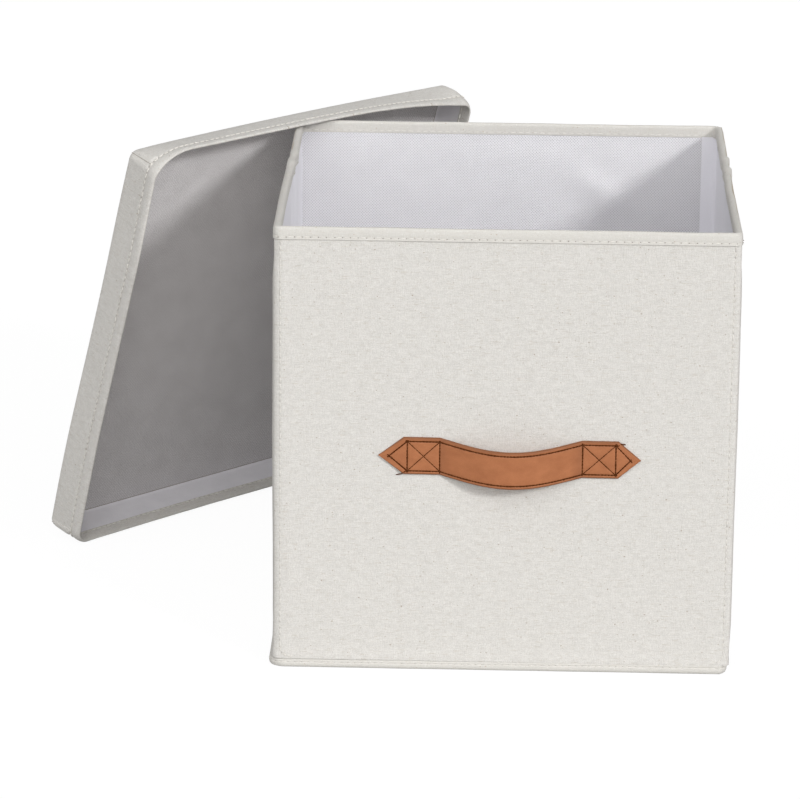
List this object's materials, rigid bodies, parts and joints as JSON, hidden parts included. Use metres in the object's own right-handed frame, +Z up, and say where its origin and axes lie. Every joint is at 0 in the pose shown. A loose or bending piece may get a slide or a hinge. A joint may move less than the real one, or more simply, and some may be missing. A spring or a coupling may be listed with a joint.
{
  "type": "storage cube with lid",
  "caption": "Fold-flat canvas storage cube with an open top, a leather strap handle on its front and a separate shallow lid that leans at its rear corner.",
  "frame": {"origin": "middle of the box's underside, on the floor", "axes": "+Z up, -Y towards the front with the handle, +X to the right seen from the front"},
  "size_m": [0.5219, 0.5471, 0.3336],
  "materials": {
    "canvas": "natural off-white slubby canvas",
    "binding": "cream woven tape and hem",
    "lining": "pale grey embossed non-woven",
    "board": "plain grey board",
    "strap": "cognac leather with dark stitching"
  },
  "bodies": {
    "front_wall": {"front_board": "board", "front_cloth": "canvas", "front_lining": "lining", "front_rim_tape": "binding", "front_left_corner": "canvas", "front_right_corner": "canvas", "bottom_cloth": "lining", "bottom_band_front": "binding", "bottom_band_rear": "binding", "bottom_band_left": "binding", "bottom_band_right": "binding", "handle_strap": "strap"},
    "left_front_half": {"left_front_board": "board", "left_front_cloth": "canvas", "left_front_lining": "lining", "left_front_rim_tape": "binding"},
    "left_rear_half": {"left_rear_board": "board", "left_rear_cloth": "canvas", "left_rear_lining": "lining", "left_rear_rim_tape": "binding"},
    "right_front_half": {"right_front_board": "board", "right_front_cloth": "canvas", "right_front_lining": "lining", "right_front_rim_tape": "binding"},
    "right_rear_half": {"right_rear_board": "board", "right_rear_cloth": "canvas", "right_rear_lining": "lining", "right_rear_rim_tape": "binding"},
    "rear_wall": {"rear_board": "board", "rear_cloth": "canvas", "rear_lining": "lining", "rear_rim_tape": "binding", "rear_left_corner": "canvas", "rear_right_corner": "canvas"},
    "base_insert": {"base_board": "board", "base_cover": "lining"},
    "lid": {"lid_board": "board", "lid_left_board": "board", "lid_right_board": "board", "lid_bottom_board": "board", "lid_top_board": "board", "lid_cloth": "canvas", "lid_top_cloth": "canvas", "lid_lining": "lining", "lid_top_lining": "lining", "lid_left_hem": "canvas", "lid_right_hem": "canvas", "lid_bottom_hem": "canvas", "lid_top_hem": "canvas"}
  },
  "joints": [
    {"name": "left_front_fold", "type": "hinge", "parent": "front_wall", "child": "left_front_half", "pos_m": [-0.1615, -0.1565, 0.17], "axis": [0, 0, -1], "range_deg": [0, 90]},
    {"name": "left_crease", "type": "hinge", "parent": "left_front_half", "child": "left_rear_half", "pos_m": [-0.16515, 0.00185, 0.17], "axis": [0, 0, 1], "range_deg": [0, 180]},
    {"name": "left_rear_fold", "type": "hinge", "parent": "left_rear_half", "child": "rear_wall", "pos_m": [-0.1615, 0.1602, 0.17], "axis": [0, 0, -1], "range_deg": [0, 90]},
    {"name": "right_front_fold", "type": "hinge", "parent": "front_wall", "child": "right_front_half", "pos_m": [0.1615, -0.1565, 0.17], "axis": [0, 0, 1], "range_deg": [0, 90]},
    {"name": "right_crease", "type": "hinge", "parent": "right_front_half", "child": "right_rear_half", "pos_m": [0.16515, 0.00185, 0.17], "axis": [0, 0, -1], "range_deg": [0, 180]},
    {"name": "base_lift", "type": "hinge", "parent": "front_wall", "child": "base_insert", "pos_m": [0, -0.1607, 0.0043], "axis": [1, 0, 0], "range_deg": [0, 90]},
    {"name": "lid_lift", "type": "slide", "parent": "front_wall", "child": "lid", "axis": [0, 0, 1], "range_m": [0, 0.4]}
  ],
  "couplings": [
    {"joint": "left_front_fold", "follows": "left_crease", "ratio": 0.5},
    {"joint": "left_rear_fold", "follows": "left_crease", "ratio": 0.5},
    {"joint": "right_front_fold", "follows": "left_crease", "ratio": 0.5},
    {"joint": "right_crease", "follows": "left_crease", "ratio": 1}
  ]
}
